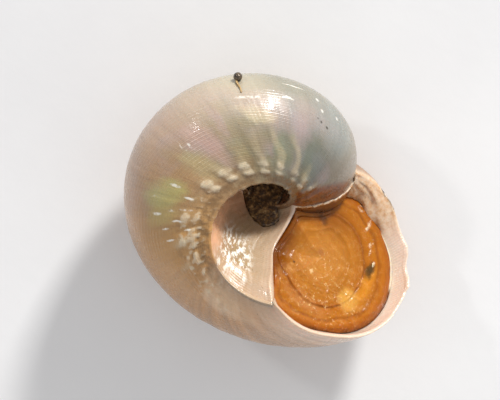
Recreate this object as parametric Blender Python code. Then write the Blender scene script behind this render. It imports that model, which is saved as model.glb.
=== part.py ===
# Small umbilicate top shell, lying with its base up. Metres, +Z up.
#
# The shell is one logarithmic spiral. Its surface is a grid of growth rows, each a copy
# of one section curve, turned and shrunk about the apex. Each whorl is welded to the one
# before it along the suture and along the edge of the umbilicus.
#
# Section points are (distance from the axis, distance from the apex), in section units.

import math

import bmesh
import bpy
import numpy as np

# Size and growth
UNIT = 0.00312
GROWTH = 0.124
ROWS = 60
SPIRE_TURNS = 3.2
FUNNEL_TURNS = 2.2

# Section curve: a leaning ellipse, a gently rounded base and a sharp umbilical keel
MIDDLE = (1.0, 1.531)
RADII = (1.107, 1.004)
LEAN = 0.038
KEEL = (0.693, 2.728)
BASE_START = math.radians(48)
BASE_JOIN = 0.88
FUNNEL_BULGE = 0.05
SPIRE_STEPS = 6
BODY_STEPS = 18
RIM_STEPS = 2
FUNNEL_STEPS = 4

# Slant of the growth rows and of the lip
SLANT = 0.502
SLANT_CURVE = 0.103
SLANT_OUT = 0.359
COLUMELLA_TURN = math.radians(45)

# Relief
BEADS = 20
KEEL_RISE = 0.034
CORD_RISE = 0.026
FOLD_RISE = 0.010
SPIRAL_CORD_RISE = 0.009
CHIPS = ((14.0, 1.3, math.radians(2.0)), (18.0, 1.5, math.radians(2.6)))

# Wall and cavity
WALL = 0.105
LIP_WALL = 0.042
GLAZE = 0.03
CAVITY_DEPTH = math.radians(195)
CAVITY_RINGS = 11
CAVITY_MIDDLE = (1.08, 1.45)
INSET_TRIALS = 161

# Operculum: a disc across the mouth, facing away from the lip's slant
OPERCULUM_AZIMUTH = math.radians(75)
OPERCULUM_TILT = math.radians(63.2)
OPERCULUM_REACH = 0.645
OPERCULUM_BEHIND_LIP = math.radians(2.5)
OPERCULUM_GAP = 0.085
OPERCULUM_THICKNESS = 0.055
OPERCULUM_DISH = 0.05
OPERCULUM_RINGS = 8
OPERCULUM_RIDGE = 0.012

# Silt in the umbilicus
SILT_TOP = 1.44
SILT_BOTTOM = 1.0
SILT_GAP = 0.075
SILT_SIDES = 20

# How the shell lies: base up, tipped onto its shoulder, longest side along X
SHOULDER_AZIMUTH = math.radians(-69.2)
SHOULDER_TILT = math.radians(23.2)
HEADING = math.radians(120)
WEAR = 0.00005

RATIO = math.exp(2 * math.pi * GROWTH)
STEP = 2 * math.pi / ROWS


def ellipse_point(turn):
    across = math.cos(turn - LEAN) / RADII[0]
    along = math.sin(turn - LEAN) / RADII[1]
    reach = 1 / math.hypot(across, along)
    return np.array([MIDDLE[0] + reach * math.cos(turn), MIDDLE[1] + reach * math.sin(turn)])


def outside_ellipse(point):
    offset = np.array(point) - MIDDLE
    edge = ellipse_point(math.atan2(offset[1], offset[0])) - MIDDLE
    return math.hypot(*offset) - math.hypot(*edge)


def suture_turn():
    low = math.radians(-60)
    high = math.radians(-120)
    low_side = outside_ellipse(ellipse_point(low) * RATIO) > 0
    for _ in range(60):
        middle = (low + high) / 2
        if (outside_ellipse(ellipse_point(middle) * RATIO) > 0) == low_side:
            low = middle
        else:
            high = middle
    return (low + high) / 2


def base_point(share):
    start = ellipse_point(BASE_START)
    ahead = ellipse_point(BASE_START + 0.001) - ellipse_point(BASE_START - 0.001)
    ahead /= math.hypot(*ahead)
    end = np.array(KEEL)
    span = math.hypot(*(end - start))
    first = start + ahead * span * 0.36
    second = end + np.array([0.40, -0.035]) * span
    rest = 1 - share
    return (rest ** 3 * start + 3 * rest ** 2 * share * first
            + 3 * rest * share ** 2 * second + share ** 3 * end)


def funnel_point(share):
    start = np.array(KEEL)
    end = base_point(BASE_JOIN) / RATIO
    middle = (start + end) / 2 + np.array([FUNNEL_BULGE, 0.0])
    return (1 - share) ** 2 * start + 2 * (1 - share) * share * middle + share ** 2 * end


def slant(point):
    height = point[1] - MIDDLE[1]
    lag = -SLANT * height - SLANT_CURVE * height ** 2 - SLANT_OUT * (point[0] - 1)
    return math.atan2(lag, max(point[0], 0.25))


def spaced_along(points, count):
    points = np.array(points)
    lengths = np.concatenate([[0], np.cumsum(np.hypot(*np.diff(points, axis=0).T))])
    wanted = np.arange(count) * lengths[-1] / count
    return [np.array([np.interp(s, lengths, points[:, 0]), np.interp(s, lengths, points[:, 1])])
            for s in wanted]


class Section:
    """Columns of the grid: section points, their azimuths and the welded columns."""

    def __init__(self):
        start = suture_turn()
        joined = ellipse_point(start) * RATIO - MIDDLE
        join_turn = math.atan2(joined[1], joined[0])
        spire = [ellipse_point(start + (join_turn - start) * i / SPIRE_STEPS)
                 for i in range(SPIRE_STEPS)]
        side = [ellipse_point(t) for t in np.linspace(join_turn, BASE_START, 200)]
        under = [base_point(t) for t in np.linspace(0, BASE_JOIN, 200)[1:]]
        body = spaced_along(side + under, BODY_STEPS)
        rim = [base_point(BASE_JOIN + (1 - BASE_JOIN) * i / RIM_STEPS) for i in range(RIM_STEPS)]
        funnel = [funnel_point(i / FUNNEL_STEPS) for i in range(FUNNEL_STEPS + 1)]
        self.points = np.array(spire + body + rim + funnel)
        self.body = SPIRE_STEPS
        self.rim = self.body + BODY_STEPS
        self.keel = self.rim + RIM_STEPS
        self.last = self.keel + FUNNEL_STEPS
        self.azimuths = np.array([slant(p) for p in self.points])
        at_keel = self.azimuths[self.keel]
        for i in range(self.keel, self.last + 1):
            share = (i - self.keel) / FUNNEL_STEPS
            self.azimuths[i] = at_keel + COLUMELLA_TURN * max(0.0, (share - 0.55) / 0.45) ** 1.6
        self.weld_whole_rows()

    def weld_whole_rows(self):
        """Shift azimuths a little, so that welded columns meet on whole rows."""
        at = self.azimuths
        spire_step = at[self.body] - at[0]
        funnel_step = at[self.rim] - at[self.last]
        self.spire_rows = ROWS + round(spire_step / STEP)
        self.funnel_rows = ROWS + round(funnel_step / STEP)
        spire_error = spire_step - (self.spire_rows - ROWS) * STEP
        funnel_error = funnel_step - (self.funnel_rows - ROWS) * STEP
        for i in range(self.body):
            at[i] += spire_error * (1 - i / self.body)
        for i in range(self.keel, self.last + 1):
            at[i] += funnel_error * (i - self.keel) / FUNNEL_STEPS

    def normals(self):
        ahead = np.roll(self.points, -1, axis=0)
        behind = np.roll(self.points, 1, axis=0)
        ahead[-1] = self.points[-1]
        behind[0] = self.points[0]
        along = ahead - behind
        out = np.stack([along[:, 1], -along[:, 0]], axis=1)
        return out / np.hypot(out[:, 0], out[:, 1])[:, None]

    def body_end(self, column):
        share = (column - self.body) / BODY_STEPS
        return self.spire_rows + round((self.funnel_rows - self.spire_rows) * share)


def place(point, azimuth):
    scale = UNIT * math.exp(GROWTH * azimuth)
    return (scale * point[0] * math.cos(azimuth), scale * point[0] * math.sin(azimuth),
            scale * point[1])


def relief(section, row, column):
    """Rise of the surface above the smooth section, in section units."""
    bead = 0.5 + 0.5 * math.cos(2 * math.pi * BEADS * row / ROWS)
    if column == section.keel:
        return KEEL_RISE * (0.35 + 0.65 * bead)
    if column == section.rim - 1:
        return CORD_RISE * (0.35 + 0.65 * bead)
    if section.body < column < section.rim - 1:
        share = (column - section.body) / BODY_STEPS
        fold = FOLD_RISE * max(0.0, share - 0.4) / 0.6 * (bead - 0.5) * 2
        cord = SPIRAL_CORD_RISE if column % 2 else 0.0
        return fold + cord * (1 - share)
    return 0.0


def lip_chip(row, column):
    """Azimuth lost from the lip at its two broken corners."""
    if row > 0:
        return 0.0
    lost = 0.0
    for centre, width, depth in CHIPS:
        lost += depth * max(0.0, 1 - abs(column - centre) / width)
    return lost


class ShellGrid:
    """Shared vertices of the shell, found by growth row and column."""

    def __init__(self, mesh, section):
        self.mesh = mesh
        self.section = section
        self.normals = section.normals()
        self.made = {}

    def vertex(self, row, column):
        section = self.section
        if column == section.body and row >= section.spire_rows:
            row, column = row - section.spire_rows, 0
        if column == section.rim and row >= section.funnel_rows:
            row, column = row - section.funnel_rows, section.last
        key = (row, column)
        if key not in self.made:
            azimuth = section.azimuths[column] - row * STEP - lip_chip(row, column)
            point = section.points[column] + self.normals[column] * relief(section, row, column)
            self.made[key] = self.mesh.verts.new(place(point, azimuth))
        return self.made[key]

    def quad(self, row, column):
        self.mesh.faces.new((self.vertex(row, column), self.vertex(row, column + 1),
                             self.vertex(row + 1, column + 1), self.vertex(row + 1, column)))


def cap(mesh, loop, centre):
    middle = mesh.verts.new(centre)
    for i, vertex in enumerate(loop):
        mesh.faces.new((vertex, loop[(i + 1) % len(loop)], middle))


def mean_position(loop):
    return sum((v.co for v in loop), loop[0].co * 0) / len(loop)


def aperture(section):
    """Section points and azimuths around the mouth: lip first, then the earlier whorl."""
    points = list(section.points)
    azimuths = list(section.azimuths)
    for column in range(section.rim - 1, section.body, -1):
        points.append(section.points[column] / RATIO)
        azimuths.append(section.azimuths[column] - section.body_end(column) * STEP + 2 * math.pi)
    return np.array(points), np.array(azimuths)


def clearances(section, wall, glaze):
    """Distance kept from each edge of the mouth: the lip's wall, then the earlier whorl."""
    count = section.last + BODY_STEPS
    return np.array([wall if i < section.last else glaze for i in range(count)])


def inset_loop(points, clearance, rounds):
    """The same loop, drawn in until it stands clear of each edge, and rounded."""
    ahead = np.roll(points, -1, axis=0)
    edge = ahead - points
    edge_square = (edge ** 2).sum(axis=1)
    offset = points - CAVITY_MIDDLE
    shares = np.linspace(0, 1, INSET_TRIALS)
    trials = offset[:, None, :] * shares[None, :, None] + CAVITY_MIDDLE
    along = ((trials[:, :, None, :] - points) * edge).sum(axis=-1) / edge_square
    nearest = points + np.clip(along, 0, 1)[..., None] * edge
    away = np.linalg.norm(trials[:, :, None, :] - nearest, axis=-1)
    blocked = (away < clearance).any(axis=-1)
    reach = shares[blocked.argmax(axis=1) - 1]
    for _ in range(rounds):
        beside = (np.roll(reach, 1) + np.roll(reach, -1)) / 2
        reach = np.minimum(reach, (reach + beside) / 2)
    return offset * reach[:, None] + CAVITY_MIDDLE


def make_object(name, mesh, colour, roughness, metallic):
    data = bpy.data.meshes.new(name)
    bmesh.ops.recalc_face_normals(mesh, faces=mesh.faces)
    bmesh.ops.triangulate(mesh, faces=mesh.faces)
    mesh.to_mesh(data)
    mesh.free()
    data.shade_smooth()
    data.set_sharp_from_angle(angle=math.radians(40))
    material = bpy.data.materials.new(name)
    material.use_nodes = True
    shader = material.node_tree.nodes["Principled BSDF"]
    shader.inputs["Base Color"].default_value = (*colour, 1)
    shader.inputs["Roughness"].default_value = roughness
    shader.inputs["Metallic"].default_value = metallic
    data.materials.append(material)
    made = bpy.data.objects.new(name, data)
    bpy.context.collection.objects.link(made)
    return made


def make_shell(section):
    mesh = bmesh.new()
    grid = ShellGrid(mesh, section)
    spire_end = round(SPIRE_TURNS * ROWS)
    funnel_end = round(FUNNEL_TURNS * ROWS)

    # Spire and suture
    for row in range(spire_end):
        for column in range(section.body):
            grid.quad(row, column)

    # Outside of the last whorl
    for column in range(section.body, section.rim):
        end = section.body_end(column)
        next_end = section.body_end(column + 1)
        for row in range(min(end, next_end)):
            grid.quad(row, column)
        for row in range(next_end, end):
            mesh.faces.new((grid.vertex(row, column), grid.vertex(next_end, column + 1),
                            grid.vertex(row + 1, column)))

    # Keel and umbilical funnel
    for row in range(funnel_end):
        for column in range(section.rim, section.last):
            grid.quad(row, column)

    # Tip of the spire and floor of the funnel
    tip = [grid.vertex(row, 0) for row in range(spire_end - section.spire_rows, spire_end)]
    tip += [grid.vertex(spire_end, column) for column in range(section.body)]
    centre = mean_position(tip)
    centre.z *= 0.6
    cap(mesh, tip, centre)
    floor = [grid.vertex(row, section.last)
             for row in range(funnel_end - section.funnel_rows, funnel_end)]
    floor += [grid.vertex(funnel_end, column)
              for column in range(section.last, section.rim, -1)]
    cap(mesh, floor, mean_position(floor))

    # Mouth: lip and cavity
    points, azimuths = aperture(section)
    ring = [grid.vertex(0, column) for column in range(section.last + 1)]
    ring += [grid.vertex(section.body_end(column), column)
             for column in range(section.rim - 1, section.body, -1)]
    chips = [lip_chip(0, column) if column <= section.last else 0.0
             for column in range(len(points))]
    for step in range(CAVITY_RINGS + 1):
        share = step / CAVITY_RINGS
        depth = math.radians(0.6) + CAVITY_DEPTH * share ** 1.8
        wall = LIP_WALL + (WALL - LIP_WALL) * min(1.0, depth / math.radians(12))
        inner = inset_loop(points, clearances(section, wall, GLAZE), 1 + step)
        fade = max(0.0, 1 - depth / math.radians(4))
        next_ring = [mesh.verts.new(place(p, a - depth - c * fade))
                     for p, a, c in zip(inner, azimuths, chips)]
        for i in range(len(ring)):
            j = (i + 1) % len(ring)
            mesh.faces.new((ring[i], ring[j], next_ring[j], next_ring[i]))
        ring = next_ring
    cap(mesh, ring, mean_position(ring))
    return make_object("shell", mesh, (0.62, 0.50, 0.41), 0.32, 0.0)


def crossing(point, face, reach, behind):
    """Azimuth at which the growth line of a section point passes through a plane."""
    low = behind - math.radians(70)
    high = behind + math.radians(70)
    for _ in range(50):
        middle = (low + high) / 2
        if np.dot(place(point, middle), face) / UNIT < reach:
            low = middle
        else:
            high = middle
    return min(low, behind)


def make_operculum(section):
    """A thin, slightly dished disc with concentric raised turns, closing the mouth."""
    points, azimuths = aperture(section)
    kept = clearances(section, WALL + OPERCULUM_GAP, GLAZE + OPERCULUM_GAP)
    inner = inset_loop(points, kept, 3)
    face = np.array([math.sin(OPERCULUM_TILT) * math.cos(OPERCULUM_AZIMUTH),
                     math.sin(OPERCULUM_TILT) * math.sin(OPERCULUM_AZIMUTH),
                     math.cos(OPERCULUM_TILT)])
    rim = np.array([place(p, crossing(p, face, OPERCULUM_REACH, a - OPERCULUM_BEHIND_LIP))
                    for p, a in zip(inner, azimuths)])
    centre = rim.mean(axis=0)
    mesh = bmesh.new()
    sides = []
    for lowered in (0.0, OPERCULUM_THICKNESS):
        rings = []
        for step in range(OPERCULUM_RINGS):
            share = 1 - step / OPERCULUM_RINGS
            ridge = OPERCULUM_RIDGE if step % 2 else 0.0
            drop = OPERCULUM_DISH * (1 - share ** 2) + lowered - ridge
            spots = centre + (rim - centre) * share - face * drop * UNIT
            rings.append([mesh.verts.new(spot) for spot in spots])
        for outer, inner_ring in zip(rings, rings[1:]):
            for i in range(len(outer)):
                j = (i + 1) % len(outer)
                mesh.faces.new((outer[i], outer[j], inner_ring[j], inner_ring[i]))
        cap(mesh, rings[-1], centre - face * (OPERCULUM_DISH + lowered) * UNIT)
        sides.append(rings[0])
    top, under = sides
    for i in range(len(top)):
        j = (i + 1) % len(top)
        mesh.faces.new((top[i], top[j], under[j], under[i]))
    return make_object("operculum", mesh, (0.42, 0.19, 0.035), 0.25, 0.0)


def funnel_radius(azimuth, height):
    """Radius of the umbilical wall at an azimuth and a distance from the apex."""
    shares = np.linspace(0, 1, 41)
    wall = np.array([funnel_point(s) for s in shares])
    reach = []
    for turn in range(4):
        scale = math.exp(GROWTH * (azimuth - 2 * math.pi * turn))
        heights = wall[::-1, 1] * scale
        if heights[0] <= height <= heights[-1]:
            reach.append(np.interp(height, heights, wall[::-1, 0] * scale))
    return min(reach) if reach else KEEL[0] / KEEL[1] * height


def make_silt():
    """A plug of silt in the umbilicus, uneven on top."""
    mesh = bmesh.new()
    levels = ((SILT_BOTTOM, 0.75), (1.1, 1.0), (1.25, 1.0), (SILT_TOP - 0.06, 1.0),
              (SILT_TOP, 0.84), (SILT_TOP + 0.03, 0.45))
    rings = []
    for height, share in levels:
        ring = []
        for i in range(SILT_SIDES):
            turn = 2 * math.pi * i / SILT_SIDES
            reach = share * (min(funnel_radius(turn, height), funnel_radius(turn, height - 0.06))
                             - SILT_GAP)
            lump = 0.022 * math.sin(3 * turn + 9 * share) + 0.014 * math.sin(5 * turn + 4)
            lift = lump if height >= SILT_TOP else 0.0
            ring.append(mesh.verts.new((UNIT * reach * math.cos(turn), UNIT * reach * math.sin(turn),
                                        UNIT * (height + lift))))
        rings.append(ring)
    for lower, upper in zip(rings, rings[1:]):
        for i in range(SILT_SIDES):
            j = (i + 1) % SILT_SIDES
            mesh.faces.new((lower[i], lower[j], upper[j], upper[i]))
    cap(mesh, rings[0], mean_position(rings[0]))
    cap(mesh, rings[-1], mean_position(rings[-1]))
    return make_object("umbilicus_silt", mesh, (0.035, 0.025, 0.02), 0.6, 0.0)


def axis_turn(axis, angle):
    first, second = ((1, 2), (2, 0), (0, 1))[axis]
    matrix = np.eye(3)
    matrix[first, first] = matrix[second, second] = math.cos(angle)
    matrix[first, second] = -math.sin(angle)
    matrix[second, first] = math.sin(angle)
    return matrix


def lay_down(pieces):
    """Turn the pieces from the shell's own axis to how it lies, and stand them on z = 0."""
    turn = (axis_turn(2, HEADING) @ axis_turn(1, SHOULDER_TILT)
            @ axis_turn(2, -SHOULDER_AZIMUTH))
    turned = [np.array([v.co for v in piece.data.vertices]) @ turn.T for piece in pieces]
    everything = np.vstack(turned)
    low = everything.min(axis=0)
    high = everything.max(axis=0)
    base = np.array([(low[0] + high[0]) / 2, (low[1] + high[1]) / 2, low[2] + WEAR])
    for piece, spots in zip(pieces, turned):
        spots = spots - base
        spots[:, 2] = np.maximum(spots[:, 2], 0.0)
        piece.data.vertices.foreach_set("co", spots.astype(np.float32).ravel())
        piece.data.update()


def main():
    for old in list(bpy.data.objects):
        bpy.data.objects.remove(old)
    section = Section()
    shell = make_shell(section)
    operculum = make_operculum(section)
    silt = make_silt()
    lay_down([shell, operculum, silt])


main()
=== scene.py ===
import math

import bpy
import numpy as np
from mathutils import Matrix, Vector


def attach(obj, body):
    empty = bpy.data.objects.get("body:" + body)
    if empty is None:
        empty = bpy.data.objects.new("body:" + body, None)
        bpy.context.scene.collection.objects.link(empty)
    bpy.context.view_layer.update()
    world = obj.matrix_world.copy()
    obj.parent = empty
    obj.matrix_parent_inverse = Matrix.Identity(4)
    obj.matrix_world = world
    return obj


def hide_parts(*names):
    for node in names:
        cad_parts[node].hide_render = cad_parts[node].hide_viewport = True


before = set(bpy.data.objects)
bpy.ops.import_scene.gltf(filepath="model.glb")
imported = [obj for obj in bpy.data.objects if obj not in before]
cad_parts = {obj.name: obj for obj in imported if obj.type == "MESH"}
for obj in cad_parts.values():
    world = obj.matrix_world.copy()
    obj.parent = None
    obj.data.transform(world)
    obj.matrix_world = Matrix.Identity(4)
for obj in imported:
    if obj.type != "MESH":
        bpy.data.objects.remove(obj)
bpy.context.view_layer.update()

# Spiral and section, as in the solids
UNIT = 0.00312
GROWTH = 0.124
RATIO = math.exp(2 * math.pi * GROWTH)
MIDDLE = np.array([1.0, 1.531])
RADII = (1.107, 1.004)
LEAN = 0.038
KEEL = np.array([0.693, 2.728])
BASE_START = math.radians(48)
BASE_JOIN = 0.88
FUNNEL_BULGE = 0.05
SLANT = 0.502
SLANT_CURVE = 0.103
SLANT_OUT = 0.359
COLUMELLA_TURN = math.radians(45)
CAVITY_MIDDLE = np.array([1.08, 1.45])
CAVITY_DEPTH = math.radians(150)

# How it lies, and where the shell's apex ends up
SHOULDER_AZIMUTH = math.radians(-69.2)
SHOULDER_TILT = math.radians(23.2)
HEADING = math.radians(120)
APEX = -np.array([-0.001741857624, 0.001946951153, 0.000050118686])

# Grid of the fine shell
ROWS = 240
COARSE_ROWS = 60
SPIRE_TURNS = 3.2
FUNNEL_TURNS = 2.2
SPIRE_STEPS = 16
BODY_STEPS = 132
RIM_STEPS = 12
FUNNEL_STEPS = 18
CAVITY_RINGS = 22
STEP = 2 * math.pi / ROWS
BACK_STEP = 0.015

# Relief of the shell, in section units
BEADS = 20
KEEL_RISE = 0.046
CORD_RISE = 0.038
OUTER_RISE = 0.022
CORD_BEFORE_RIM = 0.11
KEEL_ROUNDING = 0.072
WALL_SWELLING = 0.095
RIDGE_WIDTH = 0.0310

# Lip: rings behind its edge in degrees, and the wall kept at some of them
LIP_DEGREES = (-0.1, 0.35, 0.9, 1.6, 2.4, 3.3, 4.3, 5.4, 6.6, 7.9, 9.3, 10.8, 12.4, 14.2, 16.2,
               18.5, 21.5, 26.0)
LIP_LEVELS = (-0.1, 0.35, 3.0, 6.0, 10.0)
LIP_CLEARANCES = (0.010, 0.030, 0.045, 0.060, 0.080)
LIP_CHIPS = ((0.86, 0.14, 1.7), (1.27, 0.10, 1.7), (1.53, 0.06, -0.8), (1.80, 0.12, 0.9), (2.15, 0.08, 0.4))
WALL = 0.080
GLAZE = 0.02

# Operculum
OPERCULUM_AZIMUTH = math.radians(75)
OPERCULUM_TILT = math.radians(63.2)
OPERCULUM_REACH = 0.645
OPERCULUM_BEHIND_LIP = math.radians(2.0)
NUCLEUS = np.array([0.978, -0.284, 1.473])
ROUND_REACH = 0.56
ROUND_SHARE = 0.74
OPERCULUM_SECTORS = 300
OPERCULUM_RINGS = 110

# Silt
SILT_SIDES = 96
SILT_SHARES = (1.0, 0.95, 0.89, 0.82, 0.75, 0.68, 0.60, 0.52, 0.44, 0.36, 0.28, 0.20, 0.12, 0.05)
SILT_FOOT = 0.45
SILT_GRAINS = 900

# View: the camera's turn about the shell, and the photo's scale
VIEW_TILT = 0.677
VIEW_SIDE = -0.073
VIEW_SPIN = -0.491
PIXELS_PER_UNIT = 89.573
APEX_PIXEL = (268.536, 121.871)
PHOTO = (500, 400)
CAMERA_DEPTH = 0.7
CAMERA_ZOOM = 1.006
CAMERA_DISTANCE = 0.40
CAMERA_SENSOR = 36.0

# Lights: direction as right, up and towards the viewer in the view, distance, size, power, colour
KEY_LIGHT = ((0.388, 0.704, 0.595), 0.50, (0.066, 0.066), 2.95, (1, 0.985, 0.965))
SIDE_LIGHT = ((-0.70, 0.42, 0.72), 0.30, (0.030, 0.012), 0.11, (1, 1, 1))
SKY_COLOUR = (0.985, 0.985, 1.0, 1)
SKY_POWER = 0.575
FLOOR_REACH = 0.4
# Paper tones: the dark end is painted shade to the upper left, the light end painted light to the lower
# right
PAPER_DARK = (223.95, 223.55, 224.34)
PAPER_LIGHT = (245.22, 245.22, 245.22)

# Point values kept on the shell's mesh, and plain names for the shader's inputs
NOTES = ("inside", "lip_depth", "earlier", "crest", "fold")
SHADER_NAMES = {
    "ior": "IOR", "gloss": "Specular IOR Level", "metal": "Metallic", "coat": "Coat Weight",
    "coat_rough": "Coat Roughness", "glow": "Subsurface Weight", "glow_radius": "Subsurface Radius",
    "glow_scale": "Subsurface Scale"}

# Soft spots on the shell: arc, turn, size in both, sRGB colour, amount
PEARL_SPOTS = (
    (2.86, -0.392, 0.46, 0.036, 182, 180, 108, 0.60), (2.97, -0.352, 0.40, 0.026, 184, 168, 102, 0.50),
    (3.02, -0.470, 0.40, 0.028, 180, 164, 118, 0.50), (2.66, -0.508, 0.56, 0.030, 194, 158, 150, 0.38),
    (2.42, -0.552, 0.44, 0.014, 190, 162, 158, 0.36), (2.90, -0.735, 0.60, 0.062, 104, 114, 104, 0.62),
    (2.50, -0.690, 0.42, 0.026, 170, 152, 154, 0.40), (2.96, -0.655, 0.40, 0.032, 112, 120, 88, 0.50),
    (2.28, -0.613, 0.24, 0.036, 204, 188, 150, 0.50), (3.42, -0.140, 0.42, 0.074, 232, 202, 168, 0.60),
    (0.08, -0.010, 0.40, 0.060, 160, 120, 86, 0.85), (1.95, -0.770, 0.70, 0.066, 140, 148, 146, 0.50))
SPECKS = (
    (2.158, -0.729, 0.035, 0.0030, 60, 52, 40, 0.9), (2.193, -0.742, 0.035, 0.0038, 58, 50, 38, 0.9),
    (2.13, -0.722, 0.025, 0.0020, 70, 60, 48, 0.8), (1.696, -0.729, 0.05, 0.0036, 226, 222, 214, 0.8),
    (1.918, -0.733, 0.05, 0.0034, 222, 216, 206, 0.8), (1.816, -0.768, 0.05, 0.0036, 222, 216, 206, 0.7))

# Short glints painted on the shell as white highlights: arc, turn and size in both
PAINTED_GLINTS = (
    (3.30, -0.366, 0.13, 0.0034), (3.05, -0.362, 0.09, 0.0030), (2.84, -0.354, 0.10, 0.0034),
    (3.26, -0.394, 0.10, 0.0032), (2.96, -0.412, 0.11, 0.0040), (3.22, -0.340, 0.12, 0.0030),
    (3.02, -0.326, 0.07, 0.0026), (3.12, -0.303, 0.09, 0.0026), (3.40, -0.318, 0.08, 0.0030),
    (2.74, -0.384, 0.07, 0.0028), (2.66, -0.489, 0.11, 0.0030), (2.61, -0.479, 0.09, 0.0026),
    (2.06, -0.610, 0.04, 0.0240), (1.98, -0.668, 0.03, 0.0160), (1.60, -0.690, 0.02, 0.0240))

# Soft spots on the operculum, in its plane: place, size, sRGB colour, amount; the first darkens its top as
# painted shade under the parietal lip
HORN_SPOTS = (
    (-0.27, 0.50, 0.50, 0.27, 128, 70, 12, 0.70), (-0.20, 0.40, 0.10, 0.07, 84, 46, 14, 0.75),
    (-0.60, -0.22, 0.36, 0.52, 100, 48, 0, 0.92), (0.02, -0.60, 0.40, 0.12, 172, 110, 52, 0.6),
    (0.62, 0.05, 0.10, 0.34, 214, 140, 32, 0.5), (0.50, -0.23, 0.17, 0.19, 204, 150, 64, 0.80),
    (0.59, 0.245, 0.078, 0.140, 70, 48, 16, 0.95), (-0.04, 0.05, 0.09, 0.05, 150, 92, 44, 0.6),
    (-0.277, -0.238, 0.020, 0.020, 70, 42, 16, 0.9))
# Painted highlights on the operculum: a chain of pale wet glints, in its plane: place, size, sRGB colour,
# amount
HORN_PAINTED_GLINTS = (
    (0.17, 0.80, 0.06, 0.05, 240, 222, 192, 0.7), (0.34, 0.68, 0.03, 0.10, 240, 222, 192, 0.7),
    (0.47, 0.52, 0.03, 0.07, 240, 222, 192, 0.7), (0.60, 0.33, 0.02, 0.06, 240, 222, 192, 0.9),
    (0.50, 0.42, 0.02, 0.05, 240, 222, 192, 0.7))


# Turning and placing

def axis_turn(axis, angle):
    first, second = ((1, 2), (2, 0), (0, 1))[axis]
    matrix = np.eye(3)
    matrix[first, first] = matrix[second, second] = math.cos(angle)
    matrix[first, second] = -math.sin(angle)
    matrix[second, first] = math.sin(angle)
    return matrix


LIE = (axis_turn(2, HEADING) @ axis_turn(1, SHOULDER_TILT) @ axis_turn(2, -SHOULDER_AZIMUTH))
VIEW = axis_turn(0, VIEW_TILT) @ axis_turn(1, VIEW_SIDE) @ axis_turn(2, VIEW_SPIN)


def lay(points):
    """Shell coordinates in section units to the frame, in metres."""
    spots = np.asarray(points) * UNIT @ LIE.T + APEX
    spots[..., 2] = np.maximum(spots[..., 2], 0.0)
    return spots


def spiral(points, azimuths):
    """Section points at their azimuths, in shell coordinates."""
    scale = np.exp(GROWTH * azimuths)
    return np.stack([scale * points[..., 0] * np.cos(azimuths),
                     scale * points[..., 0] * np.sin(azimuths),
                     scale * points[..., 1]], axis=-1)


# Section curve

def ellipse_point(turn):
    across = math.cos(turn - LEAN) / RADII[0]
    along = math.sin(turn - LEAN) / RADII[1]
    reach = 1 / math.hypot(across, along)
    return np.array([MIDDLE[0] + reach * math.cos(turn), MIDDLE[1] + reach * math.sin(turn)])


def outside_ellipse(point):
    offset = point - MIDDLE
    edge = ellipse_point(math.atan2(offset[1], offset[0])) - MIDDLE
    return math.hypot(*offset) - math.hypot(*edge)


def suture_turn():
    low = math.radians(-60)
    high = math.radians(-120)
    low_side = outside_ellipse(ellipse_point(low) * RATIO) > 0
    for _ in range(60):
        middle = (low + high) / 2
        if (outside_ellipse(ellipse_point(middle) * RATIO) > 0) == low_side:
            low = middle
        else:
            high = middle
    return (low + high) / 2


def base_point(share):
    start = ellipse_point(BASE_START)
    ahead = ellipse_point(BASE_START + 0.001) - ellipse_point(BASE_START - 0.001)
    ahead /= math.hypot(*ahead)
    span = math.hypot(*(KEEL - start))
    first = start + ahead * span * 0.36
    second = KEEL + np.array([0.40, -0.035]) * span
    rest = 1 - share
    return (rest ** 3 * start + 3 * rest ** 2 * share * first
            + 3 * rest * share ** 2 * second + share ** 3 * KEEL)


def funnel_point(share):
    end = base_point(BASE_JOIN) / RATIO
    middle = (KEEL + end) / 2 + np.array([FUNNEL_BULGE, 0.0])
    return (1 - share) ** 2 * KEEL + 2 * (1 - share) * share * middle + share ** 2 * end


def slant(point):
    height = point[1] - MIDDLE[1]
    lag = -SLANT * height - SLANT_CURVE * height ** 2 - SLANT_OUT * (point[0] - 1)
    return math.atan2(lag, max(point[0], 0.25))


def spaced_along(points, count):
    points = np.array(points)
    lengths = np.concatenate([[0], np.cumsum(np.hypot(*np.diff(points, axis=0).T))])
    wanted = np.arange(count) * lengths[-1] / count
    return [np.array([np.interp(s, lengths, points[:, 0]), np.interp(s, lengths, points[:, 1])])
            for s in wanted]


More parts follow.
